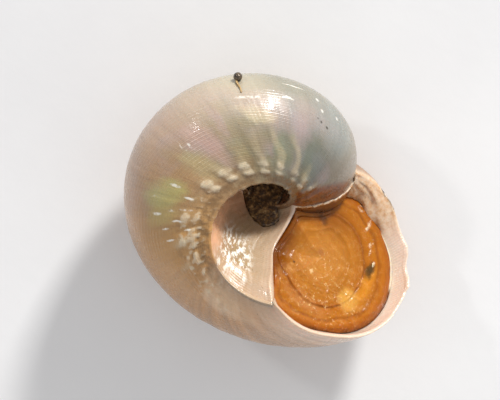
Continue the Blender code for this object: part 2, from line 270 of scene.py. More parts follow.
class Section:
    """Columns of the grid: section points, azimuths, arc lengths and the welded columns."""

    def __init__(self):
        start = suture_turn()
        joined = ellipse_point(start) * RATIO - MIDDLE
        join_turn = math.atan2(joined[1], joined[0])
        spire = [ellipse_point(start + (join_turn - start) * i / SPIRE_STEPS)
                 for i in range(SPIRE_STEPS)]
        side = [ellipse_point(t) for t in np.linspace(join_turn, BASE_START, 400)]
        under = [base_point(t) for t in np.linspace(0, BASE_JOIN, 400)[1:]]
        body = spaced_along(side + under, BODY_STEPS)
        rim = [base_point(BASE_JOIN + (1 - BASE_JOIN) * i / RIM_STEPS) for i in range(RIM_STEPS)]
        funnel = [funnel_point(i / FUNNEL_STEPS) for i in range(FUNNEL_STEPS + 1)]
        self.points = np.array(spire + body + rim + funnel)
        self.body = SPIRE_STEPS
        self.rim = self.body + BODY_STEPS
        self.keel = self.rim + RIM_STEPS
        self.last = self.keel + FUNNEL_STEPS
        steps = np.hypot(*np.diff(self.points, axis=0).T)
        self.arc = np.concatenate([[0], np.cumsum(steps)])
        self.azimuths = np.array([slant(p) for p in self.points])
        at_keel = self.azimuths[self.keel]
        for i in range(self.keel, self.last + 1):
            share = (i - self.keel) / FUNNEL_STEPS
            self.azimuths[i] = at_keel + COLUMELLA_TURN * max(0.0, (share - 0.55) / 0.45) ** 1.6
        at = self.azimuths
        coarse = 2 * math.pi / COARSE_ROWS
        spire_step = at[self.body] - at[0]
        funnel_step = at[self.rim] - at[self.last]
        self.spire_rows = ROWS + round(spire_step / coarse) * ROWS // COARSE_ROWS
        self.funnel_rows = ROWS + round(funnel_step / coarse) * ROWS // COARSE_ROWS
        spire_error = spire_step - (self.spire_rows - ROWS) * STEP
        funnel_error = funnel_step - (self.funnel_rows - ROWS) * STEP
        at[:self.body] += spire_error * (1 - np.arange(self.body) / self.body)
        at[self.keel:] += funnel_error * np.arange(FUNNEL_STEPS + 1) / FUNNEL_STEPS
        ahead = np.vstack([self.points[1:], self.points[-1:]])
        behind = np.vstack([self.points[:1], self.points[:-1]])
        along = ahead - behind
        out = np.stack([along[:, 1], -along[:, 0]], axis=1)
        self.normals = out / np.hypot(out[:, 0], out[:, 1])[:, None]

    def body_end(self, column):
        share = (column - self.body) / BODY_STEPS
        return self.spire_rows + round((self.funnel_rows - self.spire_rows) * share)


# Smooth repeatable noise

class Noise:
    """Smooth noise on a table of seeded values, along one or two directions."""

    def __init__(self, seed, size=64):
        self.table = np.random.RandomState(seed).uniform(-1, 1, (size, size))
        self.size = size

    def at(self, x, y=0.0):
        x = np.asarray(x, float)
        y = np.asarray(y, float) + np.zeros_like(x)
        x = x + np.zeros_like(y)
        left = np.floor(x).astype(int)
        low = np.floor(y).astype(int)
        fx = x - left
        fy = y - low
        fx = fx * fx * (3 - 2 * fx)
        fy = fy * fy * (3 - 2 * fy)
        n = self.size
        a = self.table[left % n, low % n]
        b = self.table[(left + 1) % n, low % n]
        c = self.table[left % n, (low + 1) % n]
        d = self.table[(left + 1) % n, (low + 1) % n]
        return (a * (1 - fx) + b * fx) * (1 - fy) + (c * (1 - fx) + d * fx) * fy


def bell(x, width):
    return np.exp(-(x / width) ** 2)


def ramp(x, low, high):
    share = np.clip((x - low) / (high - low), 0, 1)
    return share * share * (3 - 2 * share)


# Relief of the shell

FOLDS = Noise(11)
REST_LINES = Noise(12)
PITS = Noise(13)
EDGE = Noise(14)
CRUMPLES = Noise(17)


def crumple_zone(arc, depth):
    """Where the lip is wrinkled, by the suture."""
    return ramp(-arc, -0.98, -0.62) * ramp(-depth, -0.42, -0.10)


def crumple(arc, depth):
    """Uneven wrinkles, finer and finer."""
    return (CRUMPLES.at(arc * 11 + 40, depth * 17 + 9) + 0.7 * CRUMPLES.at(arc * 24 + 9, depth * 38 + 30)
            + 0.4 * CRUMPLES.at(arc * 50, depth * 80 + 3))


def relief(section, rows, columns):
    """Rise above the smooth section, and how much is a pale crest or a fold."""
    theta = rows * STEP
    age = theta / (2 * math.pi)
    arc = section.arc[columns]
    keel_arc = section.arc[section.keel]
    cord_arc = section.arc[section.rim] - CORD_BEFORE_RIM
    waver = 0.45 * FOLDS.at(theta * 3.1)
    uneven = np.clip(0.62 + 0.55 * FOLDS.at(theta * 3.2 + 30), 0.12, 1.1)
    uneven_b = np.clip(0.66 + 0.45 * FOLDS.at(theta * 3.3 + 50), 0.2, 1.1)
    old = ramp(age, 0.10, 0.30)
    lobed = 0.5 * FOLDS.at(theta * 9.0 + 3, arc * 9) + 0.2 * FOLDS.at(theta * 23.0 + 3, arc * 21)
    wave = BEADS * theta + waver + lobed
    bead = (0.5 + 0.5 * np.cos(wave)) * uneven
    bead_b = (0.5 + 0.5 * np.cos(wave + 0.5)) ** 0.8 * uneven_b
    bead_c = (0.5 + 0.5 * np.cos(wave + 0.8)) ** 0.9 * uneven_b
    keel = (0.25 + 0.75 * bead * old) * bell(arc - keel_arc, 0.046)
    cord = (0.15 + 0.90 * bead_b * old) * bell(arc - cord_arc, 0.058)
    outer = bead_c * old * bell(arc - cord_arc + 0.16, 0.085)
    rise = KEEL_RISE * (0.10 + 0.90 * old) * keel
    rise += CORD_RISE * (0.20 + 0.80 * old) * cord
    rise += OUTER_RISE * outer
    rise -= KEEL_ROUNDING * (1 - ramp(age, 0.08, 0.28)) * bell(arc - keel_arc, 0.30)
    rise += WALL_SWELLING * (1 - ramp(age, 0.10, 0.26)) * bell(arc - keel_arc - 0.28, 0.20)

    # Folds that run out from the cords, longest on the oldest part in sight
    long_zone = ramp(age, 0.50, 0.57) * ramp(-age, -0.76, -0.65)
    reach = 0.42 + 1.15 * long_zone
    near = ramp(-arc, -cord_arc - 0.02, -cord_arc + 0.14)
    zone = ramp(arc, cord_arc - reach - 0.25, cord_arc - 0.2) * near
    zone = zone * (0.45 + 0.55 * FOLDS.at(theta * 1.7 + 9, 3.3) + 0.55 * long_zone)
    bend = 1.6 * FOLDS.at(arc * 2.6, theta * 2.4) + 1.1 * long_zone * np.sin(arc * 3.0)
    fold = 0.5 + 0.5 * np.cos(BEADS * theta + 1.0 + waver + bend)
    fold = fold * np.clip(zone, 0, 1.2)
    rise += 0.020 * fold
    crumbs = PITS.at(theta * 21 + 3, arc * 14) + 0.6 * PITS.at(theta * 43, arc * 29 + 5)
    crumbs = np.clip(crumbs, -0.2, 1.5)
    rough = bell(arc - cord_arc - 0.02, 0.28) * ramp(age, 0.07, 0.15) * ramp(-age, -0.50, -0.34)
    rise += 0.014 * crumbs * rough

    body = ramp(arc, section.arc[section.body] * 0.3, section.arc[section.body] * 1.1)
    body *= ramp(-arc, -cord_arc - 0.02, -cord_arc + 0.10)
    cords = np.cos(2 * math.pi * arc / 0.062 + 0.9 * PITS.at(theta * 2.0, arc * 5))
    patchy = 0.35 + 0.65 * ramp(FOLDS.at(theta * 1.3 + 7, arc * 2.3), -0.5, 0.6)
    rise += 0.0022 * cords * body * patchy
    wall = ramp(arc, keel_arc + 0.05, keel_arc + 0.14)
    ends = ramp(-arc, -section.arc[-1], -section.arc[-1] + 0.1)
    rise += 0.004 * np.cos(2 * math.pi * arc / 0.105) * wall * ends * (1 - 0.8 * ramp(-age, -0.3, -0.1))
    lines = REST_LINES.at(theta * 26.0, arc * 0.8) + 0.6 * REST_LINES.at(theta * 61.0, arc * 1.4 + 7)
    rise += 0.0030 * lines * ramp(arc, 0.0, 0.2)
    wrinkled = crumple_zone(arc, theta)
    rise += 0.020 * wrinkled * crumple(arc, theta)
    crest = 0.55 * bead * bell(arc - keel_arc, 0.046) + bead_b * bell(arc - cord_arc, 0.058)
    crest = crest * old + 0.85 * outer
    crest = np.clip(crest * (0.8 + 0.5 * crumbs) + 0.55 * crumbs * rough, 0, 1)
    return rise, crest, np.clip(fold, 0, 1)


# Lip and mouth

def lip_loss(section, columns):
    """Azimuth missing from the lip: small chips and a ragged edge."""
    arc = section.arc[columns]
    lost = 0.0
    for centre, width, depth in LIP_CHIPS:
        lost = lost + math.radians(depth) * bell(arc - centre, width)
    ragged = 0.5 + 0.5 * EDGE.at(arc * 22.0) + 0.3 * EDGE.at(arc * 47.0 + 11)
    lost = lost + math.radians(0.55) * ragged * ramp(arc, 0.1, 0.5) * ramp(-arc, -2.7, -2.2)
    return lost


def inset_loop(points, clearance, rounds):
    """The same loop, drawn in until it stands clear of each edge, and rounded."""
    ahead = np.roll(points, -1, axis=0)
    edge = ahead - points
    edge_square = (edge ** 2).sum(axis=1)
    offset = points - CAVITY_MIDDLE

    def first_free(ray, low, high, count):
        shares = np.linspace(low, high, count)
        spots = CAVITY_MIDDLE + ray * shares[:, None]
        along = ((spots[:, None, :] - points) * edge).sum(axis=-1) / edge_square
        nearest = points + np.clip(along, 0, 1)[..., None] * edge
        away = np.linalg.norm(spots[:, None, :] - nearest, axis=-1)
        blocked = (away < clearance).any(axis=-1)
        if not blocked.any():
            return shares[-2], shares[-1]
        found = max(1, blocked.argmax())
        return shares[found - 1], shares[found]

    reach = np.empty(len(points))
    for i, ray in enumerate(offset):
        low, high = first_free(ray, 0.0, 1.0, 41)
        reach[i] = first_free(ray, low, high, 9)[0]
    for _ in range(rounds):
        beside = (np.roll(reach, 1) + np.roll(reach, -1)) / 2
        reach = np.minimum(reach, (reach + beside) / 2)
    for _ in range(4):
        reach = (np.roll(reach, 1) + np.roll(reach, -1) + 2 * reach) / 4
    return offset * reach[:, None] + CAVITY_MIDDLE


def mouth_clearance(section, count, wall, depth):
    """Wall left at each point of the mouth: more at the corners, little over the earlier whorl."""
    kept = np.full(count, float(wall))
    arc = section.arc
    kept[:section.last + 1] += 0.105 * bell(arc - arc[section.keel] + 0.03, 0.36)
    kept[:section.last + 1] += 0.075 * bell(arc - 0.42, 0.42) * min(1.0, depth / 6.0)
    kept[:section.last + 1] += 0.055 * bell(arc - 2.85, 0.60) * min(1.0, 0.3 + max(depth, 0.0) / 8.0)
    kept[section.last:] = min(wall, GLAZE)
    return kept


def mouth(section):
    """Section points and azimuths around the mouth: lip first, then the earlier whorl."""
    columns = np.arange(section.rim - 1, section.body, -1)
    ends = np.array([section.body_end(c) for c in columns])
    points = np.vstack([section.points, section.points[columns] / RATIO])
    azimuths = np.concatenate([section.azimuths,
                               section.azimuths[columns] - ends * STEP + 2 * math.pi])
    return points, azimuths, columns, ends


# Shell

def make_piece(name, spots, faces, layers, floats, node):
    """A smooth mesh object that rides on the shell's body and stands for a CAD node."""
    data = bpy.data.meshes.new(name)
    data.from_pydata([tuple(v) for v in spots], [], faces)
    data.validate()
    for layer, values in layers.items():
        made = data.uv_layers.new(name=layer)
        made.data.foreach_set("uv", np.asarray(values, np.float32).ravel())
    for key, values in floats.items():
        made = data.attributes.new(key, "FLOAT", "POINT")
        made.data.foreach_set("value", np.asarray(values, np.float32))
    data.shade_smooth()
    piece = bpy.data.objects.new(name, data)
    bpy.context.scene.collection.objects.link(piece)
    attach(piece, "root")
    if node:
        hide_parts(node)
    return piece


def make_shell(section):
    spire_end = round(SPIRE_TURNS * ROWS)
    funnel_end = round(FUNNEL_TURNS * ROWS)
    index = {}
    faces = []
    corners = []

    def vertex(row, column):
        if column == section.body and row >= section.spire_rows:
            row, column = row - section.spire_rows, 0
        if column == section.rim and row >= section.funnel_rows:
            row, column = row - section.funnel_rows, section.last
        return index.setdefault((row, column), len(index))

    def face(spots):
        faces.append([vertex(r, c) for r, c in spots])
        corners.extend((section.arc[c], -r * STEP / (2 * math.pi)) for r, c in spots)

    def quad(row, column):
        face(((row + 1, column), (row + 1, column + 1), (row, column + 1), (row, column)))

    for row in range(spire_end):
        for column in range(section.body):
            quad(row, column)
    for column in range(section.body, section.rim):
        end = section.body_end(column)
        next_end = section.body_end(column + 1)
        for row in range(min(end, next_end)):
            quad(row, column)
        for row in range(next_end, end):
            face(((row + 1, column), (next_end, column + 1), (row, column)))
    for row in range(funnel_end):
        for column in range(section.rim, section.last):
            quad(row, column)

    rows, columns = np.array(list(index)).T
    lost = np.where(rows < 8, lip_loss(section, columns) * (1 - rows / 8.0), 0.0)
    azimuths = section.azimuths[columns] - rows * STEP - lost
    flat = section.points[columns]
    rise, crest, fold = relief(section, rows, columns)
    spots = list(spiral(flat + section.normals[columns] * rise[:, None], azimuths))
    none = np.zeros(len(spots))
    notes = np.stack([none, rows * STEP, none, crest, fold], axis=1).tolist()

    def fan(loop, middle, turned):
        centre = len(spots)
        spots.append(middle)
        notes.append(notes[loop[0]][:2] + [0.0, 0.0, 0.0])
        for i, a in enumerate(loop):
            b = loop[(i + 1) % len(loop)]
            faces.append([b, a, centre] if turned else [a, b, centre])
            corners.extend(((0.3, -3.2),) * 3)

    tip = [vertex(row, 0) for row in range(spire_end - section.spire_rows, spire_end)]
    tip += [vertex(spire_end, column) for column in range(section.body)]
    middle = np.mean([spots[i] for i in tip], axis=0)
    fan(tip, middle * [1, 1, 0.6], True)
    foot = [vertex(row, section.last) for row in range(funnel_end - section.funnel_rows, funnel_end)]
    foot += [vertex(funnel_end, column) for column in range(section.last, section.rim, -1)]
    fan(foot, np.mean([spots[i] for i in foot], axis=0), False)

    # Lip and cavity
    points, mouth_azimuths, back, ends = mouth(section)
    ring = [vertex(0, column) for column in range(section.last + 1)]
    ring += [vertex(int(end), int(column)) for end, column in zip(ends, back)]
    lost = np.zeros(len(points))
    lost[:section.last + 1] = lip_loss(section, np.arange(section.last + 1))
    count = len(ring)
    around = np.concatenate([section.arc, section.arc[-1] + np.arange(1, len(back) + 1) * BACK_STEP])
    levels = np.array([inset_loop(points, mouth_clearance(section, count, wall, degrees), 2)
                       for wall, degrees in zip(LIP_CLEARANCES, LIP_LEVELS)])
    deeper = [LIP_DEGREES[-1] + (math.degrees(CAVITY_DEPTH) - LIP_DEGREES[-1]) * (i / CAVITY_RINGS)
              for i in range(1, CAVITY_RINGS + 1)]
    at_lip = np.arange(count) <= section.last
    before = 0.0
    for degrees in list(LIP_DEGREES) + deeper:
        depth = math.radians(degrees)
        fade = max(0.0, 1 - depth / math.radians(8))
        place = np.interp(degrees, LIP_LEVELS, np.arange(len(levels)))
        low = min(int(place), len(levels) - 2)
        loop = levels[low] + (levels[low + 1] - levels[low]) * (place - low)
        zone = np.where(at_lip, crumple_zone(around, max(depth, 0.0)), 0.0)
        lines = 0.0022 * REST_LINES.at(np.full(count, depth * 40 + 3), around * 1.3 + 20)
        draw = 0.026 * zone * crumple(around, depth) * min(1.0, max(0.0, degrees))
        draw = draw + lines * (degrees > 0)
        inward = CAVITY_MIDDLE - loop
        inward /= np.linalg.norm(inward, axis=1)[:, None]
        placed = spiral(loop + inward * draw[:, None], mouth_azimuths - depth - lost * fade)
        base = len(spots)
        spots.extend(placed)
        none = np.zeros(count)
        within = none + (1.0 if degrees > 0 else 0.5)
        notes.extend(np.stack([within, none + depth, 1.0 - at_lip, 0.5 * zone, none], axis=1).tolist())
        now = depth / (2 * math.pi)
        for i in range(count):
            j = (i + 1) % count
            faces.append([ring[i], ring[j], base + j, base + i])
            u0, u1 = around[i], around[j] if j else around[i] + BACK_STEP
            corners.extend(((u0, -before), (u1, -before), (u1, -now), (u0, -now)))
        ring = list(range(base, base + count))
        before = now
    fan(ring, np.mean([spots[i] for i in ring], axis=0), False)
    return make_piece("pearly_shell", lay(np.array(spots)), faces, {"spiral": corners},
                      dict(zip(NOTES, np.array(notes).T)), "shell")


def tube_faces(rings, sides):
    """Faces of a closed tube of rings."""
    faces = [list(range(sides))[::-1], list(range((rings - 1) * sides, rings * sides))]
    for i in range(rings - 1):
        for j in range(sides):
            k = (j + 1) % sides
            faces.append([i * sides + j, i * sides + k, (i + 1) * sides + k, (i + 1) * sides + j])
    return faces


# Operculum

def crossing(points, azimuths, face, reach):
    """Azimuths at which growth lines of section points pass through a plane."""
    low = azimuths - math.radians(70)
    high = azimuths + math.radians(70)
    for _ in range(50):
        middle = (low + high) / 2
        short = spiral(points, middle) @ face < reach
        low = np.where(short, middle, low)
        high = np.where(short, high, middle)
    return np.minimum(low, azimuths)


def make_operculum(section):
    points, azimuths, _, _ = mouth(section)
    kept = mouth_clearance(section, len(points), WALL, 10.0) - 0.012
    inner = inset_loop(points, kept, 3)
    face = np.array([math.sin(OPERCULUM_TILT) * math.cos(OPERCULUM_AZIMUTH),
                     math.sin(OPERCULUM_TILT) * math.sin(OPERCULUM_AZIMUTH),
                     math.cos(OPERCULUM_TILT)])
    at = crossing(inner, azimuths - OPERCULUM_BEHIND_LIP, face, OPERCULUM_REACH)
    rim = spiral(inner, at)
    side = np.cross(face, [0, 0, 1.0])
    side /= np.linalg.norm(side)
    other = np.cross(face, side)
    flat = rim - NUCLEUS
    angle = np.unwrap(np.arctan2(flat @ other, flat @ side))
    if angle[-1] < angle[0]:
        angle = angle[::-1]
        rim = rim[::-1]
    sectors = OPERCULUM_SECTORS
    wanted = angle[0] + np.arange(sectors) * 2 * math.pi / sectors
    order = np.argsort(angle)
    rim = np.stack([np.interp(wanted, angle[order], rim[order, k], period=2 * math.pi)
                    for k in range(3)], axis=-1)
    warp = Noise(21)
    lumps = Noise(22)
    spots = []
    corners = []
    share_at = []
    shares = 1 - np.arange(OPERCULUM_RINGS) / OPERCULUM_RINGS
    edge_reach = np.hypot((rim - NUCLEUS) @ side, (rim - NUCLEUS) @ other)
    ring_reach = np.minimum(ROUND_REACH, 0.90 * edge_reach)
    for _ in range(30):
        ring_reach = (np.roll(ring_reach, 1) + np.roll(ring_reach, -1) + 2 * ring_reach) / 4
    for share in shares:
        part = ring_reach * min(share / ROUND_SHARE, 1.0)
        part = part + (edge_reach - ring_reach) * max(0.0, (share - ROUND_SHARE) / (1 - ROUND_SHARE))
        flat = (rim - NUCLEUS) * (part / edge_reach)[:, None]
        u = flat @ side
        v = flat @ other
        wobble = 0.022 * warp.at(u * 3 + 9, v * 3 + 9) + 0.006 * warp.at(u * 11 + 9, v * 11 + 30)
        phase = share + wobble * ramp(np.full(sectors, share), 0.0, 0.3)
        turn = np.arctan2(v, u)
        coil = np.sin(2 * math.pi * phase * 8.0 + turn)
        fine = np.sin(2 * math.pi * phase * 31)
        rise = 0.0016 * coil * ramp(phase, 0.10, 0.55) + 0.0006 * fine
        rise -= 0.0045 * bell(phase - ROUND_SHARE, 0.012) + 0.003 * bell(phase - 0.86, 0.012)
        rise += 0.006 * bell(phase - ROUND_SHARE + 0.03, 0.018) + 0.003 * bell(phase - 0.50, 0.02)
        rise += 0.007 * lumps.at(u * 4 + 20, v * 4 + 20) + 0.0035 * lumps.at(u * 13 + 20, v * 13 + 20)
        wet = ramp(-v + 0.5 * u, 0.10, 0.55)
        drops = np.clip(lumps.at(u * 26 + 30, v * 26 + 30) - 0.25, 0, 1)
        drops = drops + 0.5 * np.clip(lumps.at(u * 48 + 11, v * 48 + 40) - 0.3, 0, 1)
        rise += 0.016 * drops * (0.18 + 0.82 * wet) * ramp(-phase, -1.0, -0.94)
        dish = 0.050 * (1 - phase ** 2) + 0.035 * ramp(phase, 0.93, 1.0)
        spots.extend(NUCLEUS + flat + np.outer(rise - dish, face))
        share_at.extend([share] * sectors)
        corners.append(np.stack([u, v], axis=1))
    spots.append(NUCLEUS - 0.050 * face)
    share_at.append(0.0)
    last = len(spots) - 1
    plane = [tuple(c) for c in np.vstack(corners + [np.zeros((1, 2))])]
    faces = tube_faces(OPERCULUM_RINGS, sectors)[2:]
    base = (OPERCULUM_RINGS - 1) * sectors
    for i in range(sectors):
        faces.append([base + i, base + (i + 1) % sectors, last])

    # Edge and plain underside
    under = len(spots)
    spots.extend(rim - 0.05 * face)
    spots.append(NUCLEUS - 0.11 * face)
    share_at.extend([1.0] * (sectors + 1))
    plane.extend(plane[:sectors] + [(0.0, 0.0)])
    for i in range(sectors):
        j = (i + 1) % sectors
        faces.append([j, i, under + i, under + j])
        faces.append([under + j, under + i, len(spots) - 1])
    layer = [plane[i] for f in faces for i in f]
    return make_piece("amber_operculum", lay(np.array(spots)), faces, {"disc": layer},
                      {"ring_share": share_at}, "operculum")


# Camera

def make_camera():
    data = bpy.data.cameras.new("camera")
    camera = bpy.data.objects.new("camera", data)
    bpy.context.scene.collection.objects.link(camera)
    turn = LIE @ VIEW.T
    across = (PHOTO[0] / 2 - APEX_PIXEL[0]) / PIXELS_PER_UNIT
    up = (APEX_PIXEL[1] - PHOTO[1] / 2) / PIXELS_PER_UNIT
    target = lay_free(VIEW.T @ np.array([across, up, CAMERA_DEPTH]))
    spot = target + turn @ np.array([0, 0, 1.0]) * CAMERA_DISTANCE
    matrix = Matrix(turn.tolist()).to_4x4()
    matrix.translation = Vector(spot)
    camera.matrix_world = matrix
    data.sensor_width = CAMERA_SENSOR
    width = PHOTO[0] / PIXELS_PER_UNIT * UNIT
    data.lens = CAMERA_SENSOR * CAMERA_DISTANCE / width * CAMERA_ZOOM
    data.clip_start = 0.01
    data.clip_end = 10
    bpy.context.scene.camera = camera
    return turn, target


def lay_free(point):
    """As lay, for a point off the shell."""
    return LIE @ (np.asarray(point) * UNIT) + APEX


# Materials

def linear(red, green, blue):
    """An sRGB colour, 0 to 255, as linear light."""
    made = []
    for value in (red, green, blue):
        value /= 255
        made.append(value / 12.92 if value <= 0.04045 else ((value + 0.055) / 1.055) ** 2.4)
    return (*made, 1.0)


class Looks:
    """Short ways to build one material's nodes."""

    def __init__(self, name):
        self.material = bpy.data.materials.new(name)
        self.material.use_nodes = True
        self.nodes = self.material.node_tree.nodes
        self.links = self.material.node_tree.links
        self.shader = self.nodes["Principled BSDF"]

    def put(self, node, *values):
        """Link or set a node's first inputs, or those that a pair names."""
        for socket, value in enumerate(values):
            if isinstance(value, tuple) and len(value) == 2:
                socket, value = value
            if isinstance(value, bpy.types.NodeSocket):
                self.links.new(value, node.inputs[socket])
            else:
                node.inputs[socket].default_value = value

    def math(self, operation, a, b=0.0):
        node = self.nodes.new("ShaderNodeMath")
        node.operation = operation
        self.put(node, a, b)
        return node.outputs[0]

    def mul(self, first, *others):
        for other in others:
            first = self.math("MULTIPLY", first, other)
        return first

    def add(self, first, *others):
        for other in others:
            first = self.math("ADD", first, other)
        return first

    def swing(self, noise, amount, about=0.0):
        """A noise from 0 to 1, as an equal swing to both sides of a value."""
        return self.add(about, self.mul(self.math("SUBTRACT", noise, 0.5), amount))

    def spread(self, value, low, high, to_low=0.0, to_high=1.0):
        node = self.nodes.new("ShaderNodeMapRange")
        node.interpolation_type = "SMOOTHSTEP"
        self.put(node, value, low, high, to_low, to_high)
        return node.outputs[0]

    def join(self, x, y, z=0.0):
        node = self.nodes.new("ShaderNodeCombineXYZ")
        self.put(node, x, y, z)
        return node.outputs[0]

    def noise(self, vector, scale, detail=3.0, rough=0.55, warp=0.0):
        node = self.nodes.new("ShaderNodeTexNoise")
        self.put(node, ("Vector", vector), ("Scale", scale), ("Detail", detail),
                 ("Roughness", rough), ("Distortion", warp))
        return node.outputs[0]

    def cells(self, vector, scale):
        node = self.nodes.new("ShaderNodeTexVoronoi")
        self.put(node, ("Vector", vector), ("Scale", scale))
        return node.outputs[0]

    def ramp(self, value, *stops):
        """Colours along a value: each stop is a place and an sRGB colour, 0 to 255."""
        node = self.nodes.new("ShaderNodeValToRGB")
        elements = node.color_ramp.elements
        while len(elements) > 1:
            elements.remove(elements[-1])
        elements[0].position = stops[0][0]
        elements[0].color = linear(*stops[0][1:])
        for place, *colour in stops[1:]:
            elements.new(place).color = linear(*colour)
        self.put(node, value)
        return node.outputs[0]

    def mix(self, share, first, second, blend="MIX"):
        node = self.nodes.new("ShaderNodeMix")
        node.data_type = "RGBA"
        node.blend_type = blend
        node.clamp_result = False
        self.put(node, share, (6, first), (7, second))
        return node.outputs[2]

    def scaled(self, colour, share):
        return self.mix(1.0, colour, self.join(share, share, share), "MULTIPLY")

    def spot(self, x, y, at, size):
        """1 at a place, falling to 0 over a size in each direction."""
        dx = self.math("DIVIDE", self.math("SUBTRACT", x, at[0]), size[0])
        dy = self.math("DIVIDE", self.math("SUBTRACT", y, at[1]), size[1])
        return self.spread(self.add(self.mul(dx, dx), self.mul(dy, dy)), 1.0, 0.0)

    def paint(self, colour, x, y, rows, through=1.0):
        """Soft spots: each row is a place, a size, an sRGB colour and an amount."""
        for across, along, width, length, red, green, blue, much in rows:
            soft = self.spot(x, y, (across, along), (width, length))
            colour = self.mix(self.mul(soft, through, much), colour, linear(red, green, blue))
        return colour

    def surface(self, colour, roughness, height, strength=0.5, distance=0.00002, **fixed):
        """Colour, gloss and bump, and the shader's plain values by name."""
        self.put(self.shader, ("Base Color", colour), ("Roughness", roughness))
        bump = self.nodes.new("ShaderNodeBump")
        self.put(bump, ("Strength", strength), ("Distance", distance), ("Height", height))
        self.links.new(bump.outputs[0], self.shader.inputs["Normal"])
        for name, value in fixed.items():
            self.shader.inputs[SHADER_NAMES[name]].default_value = value

    def coordinates(self, layer=None):
        if layer:
            node = self.nodes.new("ShaderNodeUVMap")
            node.uv_map = layer
            vector = node.outputs[0]
        else:
            node = self.nodes.new("ShaderNodeTexCoord")
            vector = node.outputs["Object"]
        split = self.nodes.new("ShaderNodeSeparateXYZ")
        self.links.new(vector, split.inputs[0])
        return vector, split.outputs[0], split.outputs[1]

    def attribute(self, name):
        node = self.nodes.new("ShaderNodeAttribute")
        node.attribute_name = name
        return node.outputs["Fac"]


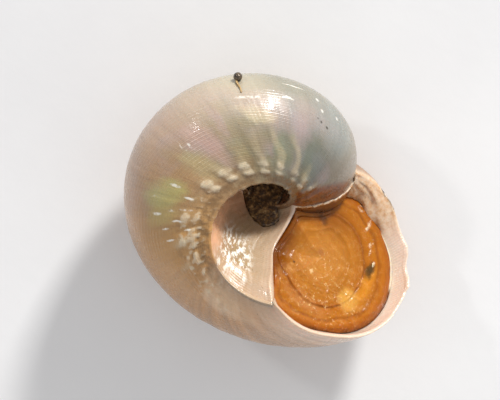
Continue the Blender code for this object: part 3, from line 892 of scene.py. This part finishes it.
def nacre_material(section):
    look = Looks("nacre")
    mul, add, swing, spread, mix = look.mul, look.add, look.swing, look.spread, look.mix
    _, arc, turn = look.coordinates("spiral")
    place = look.coordinates()[0]
    inside, depth, earlier, crest, fold = (look.attribute(note) for note in NOTES)
    keel = float(section.arc[section.keel])
    cord = float(section.arc[section.rim]) - CORD_BEFORE_RIM

    def along(by_arc, by_turn, shift=0.0, scale=1.0, detail=3, rough=0.55, warp=0.0):
        """Noise drawn out along the arc or along the turns."""
        drawn = look.join(mul(arc, by_arc), mul(turn, by_turn), shift)
        return look.noise(drawn, scale, detail, rough, warp)

    # Broad colour along the last whorl, from the lip backwards
    age = mul(turn, -1.0)
    at = swing(along(1.0, 4.0, 0.0, 1.3), 0.10, age)
    outer = look.ramp(
        at, (0.00, 230, 206, 186), (0.04, 220, 188, 162), (0.12, 194, 150, 110), (0.30, 182, 136, 90),
        (0.40, 180, 146, 112), (0.50, 178, 154, 134), (0.60, 176, 166, 144), (0.68, 142, 138, 122),
        (0.78, 140, 134, 120), (0.90, 160, 146, 126), (1.0, 170, 144, 120))
    inner = look.ramp(
        at, (0.00, 226, 196, 170), (0.05, 208, 170, 136), (0.12, 190, 140, 88), (0.30, 184, 138, 78),
        (0.45, 162, 130, 92), (0.56, 140, 122, 90), (0.66, 130, 122, 98), (0.78, 126, 118, 102),
        (0.86, 138, 114, 90), (1.0, 146, 108, 74))
    colour = mix(spread(arc, 1.9, 3.0), outer, inner)

    # Mother-of-pearl colours in radial bands, with soft edges
    streaks = along(0.55, 17.0, 3.0, 1.0, 3, 0.5, 0.4)
    pearl = look.ramp(
        look.math("FRACT", add(mul(streaks, 1.6), mul(arc, 0.22))),
        (0.00, 190, 156, 152), (0.20, 190, 162, 164), (0.38, 168, 158, 166), (0.52, 138, 148, 132),
        (0.68, 154, 152, 106), (0.84, 184, 164, 118), (1.00, 190, 156, 152))
    shine = mul(spread(age, 0.30, 0.42), spread(age, 0.98, 0.74), spread(arc, 1.5, 2.3),
                spread(arc, cord + 0.02, cord - 0.25), spread(along(1.1, 5.5, 8.0, 1.5, 2), 0.36, 0.62))
    colour = mix(mul(shine, 0.34), colour, pearl)
    fleece = along(2.2, 22.0, 6.0, 1.0, 4, 0.6)
    colour = look.paint(colour, swing(streaks, 0.9, arc), swing(fleece, 0.05, turn), PEARL_SPOTS)

    # Fine spiral ridges and growth lines
    lines = add(mul(arc, 1 / RIDGE_WIDTH), mul(along(1.0, 6.0, 0.0, 2.5, 2), 1.6))
    ridge = look.math("SINE", mul(lines, 2 * math.pi))
    thin = mul(spread(ridge, 0.45, 1.0), spread(along(4.0, 14.0), 0.42, 0.60))
    growth = along(0.9, 150.0, 0.0, 1.0, 4, 0.65)
    near_lip = mul(swing(along(0.35, 75.0, 9.0, 1.0, 2, 0.5), 1.3), spread(age, 0.34, 0.06),
                   spread(arc, 3.5, 3.0))
    shade = add(swing(growth, 0.30), swing(along(0.5, 34.0, 5.0, 1.0, 3, 0.6), 0.30), near_lip,
                mul(thin, 0.05), 0.99)
    colour = look.scaled(colour, shade)

    # Brown stain between the beaded cords and in the folds beside them
    blotch = look.noise(place, 2600, 4, 0.6)
    groove = mul(spread(arc, cord - 0.02, cord + 0.09), spread(arc, keel + 0.03, keel - 0.05),
                 spread(blotch, 0.34, 0.58))
    beside = mul(spread(arc, cord - 0.50, cord - 0.02), spread(arc, cord + 0.02, cord),
                 spread(blotch, 0.46, 0.68, 0, 0.75))
    stain = mul(look.math("MAXIMUM", groove, beside), spread(age, 0.06, 0.22))
    colour = mix(mul(stain, 0.75), colour, linear(118, 86, 46))

    # Umbilical wall: cream near the lip with painted glitter highlights, darker brown further in
    young = spread(age, 0.26, 0.10)
    sharp = mul(spread(arc, keel - 0.01, keel + 0.06), look.math("SUBTRACT", 1.0, young))
    wall = add(sharp, mul(spread(swing(blotch, 0.5, arc), keel - 0.30, keel + 0.45), young))
    # Painted light: the wall is made lighter at ages 0.25 to 0.36, against the shade that falls inside the
    # funnel
    colour = mix(wall, colour, look.ramp(
        swing(blotch, 0.06, age), (0.0, 192, 166, 140), (0.05, 176, 152, 124), (0.14, 164, 138, 106),
        (0.20, 174, 138, 106), (0.25, 232, 178, 138), (0.36, 226, 170, 128), (0.46, 146, 110, 80),
        (0.9, 96, 68, 46)))
    # Painted highlights: white glitter flecks near the lip, with darker yellow flecks between them
    flecks = along(9.0, 60.0, 2.0, 1.0, 5, 0.7)
    painted_glitter = mul(spread(age, 0.055, 0.095), spread(age, 0.235, 0.17), wall,
                 spread(arc, keel + 1.05, keel + 0.6))
    colour = mix(mul(painted_glitter, spread(flecks, 0.47, 0.58)), colour, linear(246, 242, 230))
    colour = mix(mul(painted_glitter, spread(flecks, 0.44, 0.36, 0.0, 0.6)), colour, linear(176, 146, 84))

    # Painted even tone: a pale band over the rounded keel by the lip, which hides the shading line where it
    # runs into the wall
    rounded = mul(spread(arc, keel - 0.42, keel), spread(arc, keel + 0.42, keel),
                  spread(swing(flecks, 0.1, age), 0.22, 0.12))
    colour = mix(mul(rounded, 0.85), colour, linear(190, 160, 130))

    # Pale crests of the beads and folds, and short painted glints
    crumb = spread(look.noise(place, 5200, 3, 0.6), 0.30, 0.60, 0.55, 1.0)
    crest = mul(spread(crest, 0.14, 0.62), crumb)
    ribs = mul(spread(fold, 0.35, 0.85), spread(blotch, 0.30, 0.60, 0.4, 1.0))
    colour = mix(mul(ribs, 0.42), colour, linear(206, 188, 152))
    colour = mix(mul(crest, 0.62), colour, linear(220, 206, 178))
    # Painted highlights: short white glints with frayed edges
    frayed = swing(blotch, 0.14)
    colour = look.paint(colour, add(arc, frayed), add(turn, mul(frayed, 0.05)),
                        [(*row, 244, 240, 230, 0.8) for row in PAINTED_GLINTS], spread(blotch, 0.40, 0.56))

    # Amber crescent where the earlier whorl meets the mouth
    edge = swing(blotch, 0.010, add(mul(look.math("SUBTRACT", 3.6, arc), 0.075), 0.797))
    crescent = mul(spread(look.math("SUBTRACT", age, edge), -0.036, -0.014), spread(arc, 1.9, 2.4),
                   spread(arc, 3.66, 3.58))
    colour = mix(mul(crescent, 0.9), colour, look.ramp(blotch, (0.35, 78, 34, 0), (0.65, 140, 70, 4)))

    # Dirt: a few specks and pale pits
    grit = spread(look.noise(place, 9000, 2, 0.5), 0.735, 0.765)
    colour = mix(mul(grit, 0.55), colour, linear(96, 74, 48))
    colour = look.paint(colour, swing(blotch, 0.03, arc), turn, SPECKS)

    # Inside of the mouth: pinkish white at the lip, orange and wrinkled by the suture
    grains = look.noise(place, 5200, 3, 0.6)
    veins = look.noise(look.join(mul(arc, 1.2), mul(depth, 26.0), 4.0), 1.0, 3, 0.6)
    lip = look.ramp(
        swing(veins, 0.12, depth), (0.0, 206, 178, 158), (0.02, 220, 196, 178), (0.12, 224, 206, 186),
        (0.24, 216, 194, 168), (0.36, 176, 124, 74), (0.5, 140, 88, 40))
    orange = look.ramp(
        add(grains, mul(depth, 0.5)), (0.30, 224, 200, 174), (0.46, 216, 186, 154),
        (0.60, 208, 168, 128), (0.80, 184, 128, 78))
    lip = mix(mul(spread(arc, 1.02, 0.60), spread(arc, -0.2, 0.0)), lip, orange)
    past = look.ramp(
        swing(grains, 0.8, mul(depth, 4.0)), (0.0, 220, 196, 168), (0.06, 190, 140, 90),
        (0.16, 116, 62, 14), (1.0, 70, 36, 6))
    colour = mix(spread(inside, 0.25, 0.75), colour, mix(earlier, lip, past))

    fine = add(mul(ridge, 0.20), mul(growth, 1.2), mul(look.noise(place, 6500, 3, 0.6), 1.2))
    look.surface(colour, spread(look.noise(place, 1800, 3), 0.3, 0.7, 0.20, 0.38), fine, 0.55, 0.000016,
                 ior=1.55, coat=0.4, coat_rough=0.10, glow=0.25, glow_radius=(1.0, 0.7, 0.5),
                 glow_scale=0.0004)
    return look.material


def amber_material():
    look = Looks("amber_horn")
    mul, add, swing, spread, mix = look.mul, look.add, look.swing, look.spread, look.mix
    disc, u, v = look.coordinates("disc")
    place = look.coordinates()[0]
    share = look.attribute("ring_share")
    radius = swing(look.noise(disc, 2.6, 3), 0.07, share)
    rings = look.noise(look.join(mul(radius, 26.0), 0.0, 0.0), 1.0, 3, 0.6)
    cloud = look.noise(place, 1100, 4, 0.6)
    colour = look.ramp(
        swing(cloud, 0.10, radius), (0.00, 176, 116, 46), (0.30, 172, 110, 38), (0.50, 160, 98, 22),
        (0.56, 168, 104, 28), (0.70, 156, 90, 12), (0.735, 134, 72, 6), (0.76, 160, 92, 12),
        (0.85, 166, 98, 14), (0.87, 140, 76, 8), (0.90, 166, 96, 14), (0.97, 150, 80, 10), (1.0, 96, 48, 6))
    colour = look.scaled(colour, add(swing(rings, 0.34, 1.0), swing(cloud, 0.40)))
    fray = look.noise(place, 3600, 5, 0.7)
    haze = mul(spread(fray, 0.50, 0.68, 0.0, 0.5), spread(radius, 0.98, 0.80),
               spread(look.math("SUBTRACT", mul(u, 0.6), v), -0.5, 0.4, 0.35, 1.0))
    colour = mix(haze, colour, linear(200, 146, 80))
    away = swing(fray, 0.10)
    # Soft spots: marks of the disc's own colour, and a darker top painted as shade under the parietal lip
    colour = look.paint(colour, add(u, away), look.math("SUBTRACT", v, away), HORN_SPOTS)
    # Painted highlights: small pale sparkles, most where the disc is wet
    wet = look.spot(u, v, (0.16, -0.32), (0.62, 0.52))
    flecks = mul(spread(look.noise(place, 8200, 3, 0.6), 0.55, 0.68), add(mul(wet, 0.75), 0.10),
                 spread(fray, 0.44, 0.58))
    colour = mix(flecks, colour, linear(226, 184, 126))
    # Painted highlights: the chain of pale wet glints
    colour = look.paint(colour, swing(fray, 0.12, u), v, HORN_PAINTED_GLINTS, spread(fray, 0.40, 0.56))
    # Painted highlight: a pale line along the disc's right edge
    painted_rim_highlight = mul(spread(share, 0.972, 0.986), spread(u, 0.50, 0.58), spread(v, 0.16, 0.26), 0.85)
    colour = mix(painted_rim_highlight, colour, linear(236, 218, 190))
    height = add(mul(rings, 0.5), mul(fray, 1.3), mul(flecks, 1.2))
    look.surface(colour, spread(look.noise(place, 2400, 4), 0.3, 0.7, 0.12, 0.30), height, 0.6,
                 ior=1.54, gloss=0.16, coat=0.18, coat_rough=0.06, glow=0.30,
                 glow_radius=(1.0, 0.45, 0.15), glow_scale=0.0003)
    return look.material


def silt_material():
    look = Looks("wet_silt")
    place = look.coordinates()[0]
    tone = look.noise(place, 6000, 4, 0.65)
    colour = look.ramp(tone, (0.30, 34, 22, 8), (0.46, 70, 48, 22), (0.58, 118, 90, 50),
                       (0.70, 176, 148, 104))
    look.surface(colour, look.spread(tone, 0.3, 0.7, 0.55, 0.25), look.cells(place, 16000), 0.6,
                 coat=0.35, coat_rough=0.12)
    return look.material


def bead_material():
    look = Looks("dark_bead")
    tone = look.noise(look.coordinates()[0], 9000, 3)
    look.surface(look.ramp(tone, (0.35, 44, 40, 38), (0.7, 128, 112, 92)), 0.18, tone, 0.2, 0.00001,
                 metal=0.55)
    return look.material


def thread_material():
    look = Looks("amber_thread")
    tone = look.noise(look.coordinates()[0], 7000, 3)
    look.surface(look.ramp(tone, (0.3, 150, 116, 66), (0.7, 206, 178, 128)), 0.3, tone, 0.3, 0.00001)
    return look.material


def paper_material():
    look = Looks("paper")
    place, x, y = look.coordinates()
    # Painted light: the paper darkens towards the upper left and lightens towards the lower right, with
    # soft mottling
    across = look.add(look.mul(x, -26.0), look.mul(y, 4.0))
    tone = look.add(look.mul(look.noise(place, 130, 4, 0.5), 0.5), 0.25, across)
    colour = look.ramp(tone, (0.15, *PAPER_DARK), (0.85, *PAPER_LIGHT))
    look.surface(colour, 0.85, look.noise(place, 1500, 3, 0.6), 0.15, 0.00004)
    return look.material


# Silt, bead and thread

def funnel_radius(azimuth, height):
    wall = np.array([funnel_point(s) for s in np.linspace(0, 1, 41)])
    reach = []
    for turn in range(4):
        scale = math.exp(GROWTH * (azimuth - 2 * math.pi * turn))
        heights = wall[::-1, 1] * scale
        if heights[0] <= height <= heights[-1]:
            reach.append(np.interp(height, heights, wall[::-1, 0] * scale))
    return min(reach) if reach else KEEL[0] / KEEL[1] * height


def lump(centre, size, stretch, seed):
    """A small uneven grain: a twice-cut octahedron pushed about by seeded noise."""
    random = np.random.RandomState(seed)
    spots = [(1, 0, 0), (-1, 0, 0), (0, 1, 0), (0, -1, 0), (0, 0, 1), (0, 0, -1)]
    faces = [(0, 2, 4), (2, 1, 4), (1, 3, 4), (3, 0, 4), (2, 0, 5), (1, 2, 5), (3, 1, 5), (0, 3, 5)]
    spots = [np.array(s, float) for s in spots]
    middles = {}
    cut = []

    def middle(a, b):
        key = (min(a, b), max(a, b))
        if key not in middles:
            spot = spots[a] + spots[b]
            spots.append(spot / np.linalg.norm(spot))
            middles[key] = len(spots) - 1
        return middles[key]

    for a, b, c in faces:
        ab, bc, ca = middle(a, b), middle(b, c), middle(c, a)
        cut.extend(((a, ab, ca), (b, bc, ab), (c, ca, bc), (ab, bc, ca)))
    shape = np.array(spots) * random.uniform(0.72, 1.2, (len(spots), 1)) * size * stretch
    turn = axis_turn(0, random.uniform(0, 6)) @ axis_turn(2, random.uniform(0, 6))
    return shape @ turn.T + centre, cut


def silt_level(x, y):
    """Height of the silt's surface: high by the mouth, low on the far side."""
    return max(0.64, 0.77 + x - 1.07 * y)


def make_silt():
    """The silt plug: an uneven heap against the funnel's wall, covered with grains."""
    heap = Noise(31)
    around = [2 * math.pi * i / SILT_SIDES for i in range(SILT_SIDES)]
    edge = []
    for azimuth in around:
        reach = 0.3
        for _ in range(12):
            level = silt_level(reach * math.cos(azimuth), reach * math.sin(azimuth))
            reach = funnel_radius(azimuth, level) - 0.004
        edge.append(reach)

    def top(x, y):
        rise = 0.018 * heap.at(x * 9 + 9, y * 9 + 9) + 0.016 * heap.at(x * 23 + 9, y * 23 + 9)
        return silt_level(x, y) + float(rise + 0.008 * heap.at(x * 55 + 9, y * 55 + 9))

    spots = []
    for azimuth in around:
        low = 0.8 * funnel_radius(azimuth, SILT_FOOT)
        spots.append((low * math.cos(azimuth), low * math.sin(azimuth), SILT_FOOT))
    for share in SILT_SHARES:
        for azimuth, reach in zip(around, edge):
            x = share * reach * math.cos(azimuth)
            y = share * reach * math.sin(azimuth)
            spots.append((x, y, top(x, y)))
    faces = tube_faces(len(SILT_SHARES) + 1, SILT_SIDES)
    spots = list(np.array(spots))
    random = np.random.RandomState(5)
    for grain in range(SILT_GRAINS):
        i = random.randint(SILT_SIDES)
        share = math.sqrt(random.uniform(0, 1))
        x = share * (edge[i] - 0.015) * math.cos(around[i])
        y = share * (edge[i] - 0.015) * math.sin(around[i])
        size = 0.004 + 0.011 * random.uniform(0, 1) ** 3
        centre = np.array([x, y, top(x, y) + size * random.uniform(-0.2, 0.6)])
        shape, cut = lump(centre, size, random.uniform(0.7, 1.3, 3), grain)
        base = len(spots)
        spots.extend(shape)
        faces.extend([[base + a, base + b, base + c] for a, b, c in cut])
    return make_piece("silt_in_umbilicus", lay(np.array(spots)), faces, {}, {}, "umbilicus_silt")


def surface_point(section, arc, turn, lift=0.0):
    """A point on the last whorl's outside, in shell coordinates."""
    spot = np.array([np.interp(arc, section.arc, section.points[:, k]) for k in (0, 1)])
    normal = np.array([np.interp(arc, section.arc, section.normals[:, k]) for k in (0, 1)])
    azimuth = np.interp(arc, section.arc, section.azimuths) + turn * 2 * math.pi
    scale = math.exp(GROWTH * azimuth)
    return spiral((spot + normal * lift / scale)[None, :], np.array([azimuth]))[0]


def make_bead(section):
    """A tiny dark bead on a short amber thread, stuck to the shell's edge."""
    pits = Noise(8)
    centre = surface_point(section, 1.62, -0.6125, 0.052)
    spots = []
    for i in range(25):
        tilt = math.pi * i / 24
        for j in range(36):
            turn = 2 * math.pi * j / 36
            way = np.array([math.sin(tilt) * math.cos(turn), math.sin(tilt) * math.sin(turn),
                            math.cos(tilt)])
            size = 0.050 * (1 + 0.035 * float(pits.at(way[0] * 3 + 9, way[1] * 3 + way[2] * 2 + 9)))
            spots.append(centre + way * size)
    bead = make_piece("stuck_bead", lay(np.array(spots)), tube_faces(25, 36), {}, {}, None)
    route = [surface_point(section, 1.52 + 0.44 * t, -0.6160 + 0.014 * t + 0.003 * math.sin(5 * t),
                           0.03 - 0.022 * t) for t in np.linspace(0, 1, 24)]
    spots = []
    for i, spot in enumerate(route):
        ahead = route[min(i + 1, 23)] - route[max(i - 1, 0)]
        side = np.cross(ahead, [0, 0, 1.0])
        side /= np.linalg.norm(side)
        other = np.cross(side, ahead)
        other /= np.linalg.norm(other)
        size = 0.013 * (1.2 - 0.6 * i / 23) * (1 + 0.12 * math.sin(i * 1.9))
        for j in range(12):
            turn = 2 * math.pi * j / 12
            spots.append(spot + size * (math.cos(turn) * side + math.sin(turn) * other))
    thread = make_piece("stuck_thread", lay(np.array(spots)), tube_faces(24, 12), {}, {}, None)
    return bead, thread


# Light and floor

def area_light(name, turn, target, direction, distance, size, power, colour):
    """A soft light, turned to the target."""
    data = bpy.data.lights.new(name, "AREA")
    data.shape = "RECTANGLE"
    data.size, data.size_y = size
    data.energy = power
    data.color = colour
    light = bpy.data.objects.new(name, data)
    bpy.context.scene.collection.objects.link(light)
    way = Vector(turn @ np.array(direction, float)).normalized()
    light.location = Vector(target) + way * distance
    light.rotation_euler = way.to_track_quat("Z", "Y").to_euler()


def make_stage(turn, target):
    data = bpy.data.meshes.new("floor")
    corners = [(x * FLOOR_REACH, y * FLOOR_REACH, 0) for x, y in ((-1, -1), (1, -1), (1, 1), (-1, 1))]
    data.from_pydata(corners, [], [(0, 1, 2, 3)])
    floor = bpy.data.objects.new("floor", data)
    bpy.context.scene.collection.objects.link(floor)
    data.materials.append(paper_material())
    area_light("key", turn, target, *KEY_LIGHT)
    area_light("side", turn, target, *SIDE_LIGHT)
    world = bpy.data.worlds.new("soft")
    bpy.context.scene.world = world
    world.use_nodes = True
    back = world.node_tree.nodes["Background"]
    back.inputs[0].default_value = SKY_COLOUR
    back.inputs[1].default_value = SKY_POWER
    bpy.context.scene.view_settings.view_transform = "Standard"


def main():
    section = Section()
    shell = make_shell(section)
    shell.data.materials.append(nacre_material(section))
    disc = make_operculum(section)
    disc.data.materials.append(amber_material())
    silt = make_silt()
    silt.data.materials.append(silt_material())
    bead, thread = make_bead(section)
    bead.data.materials.append(bead_material())
    thread.data.materials.append(thread_material())
    turn, target = make_camera()
    make_stage(turn, target)


main()
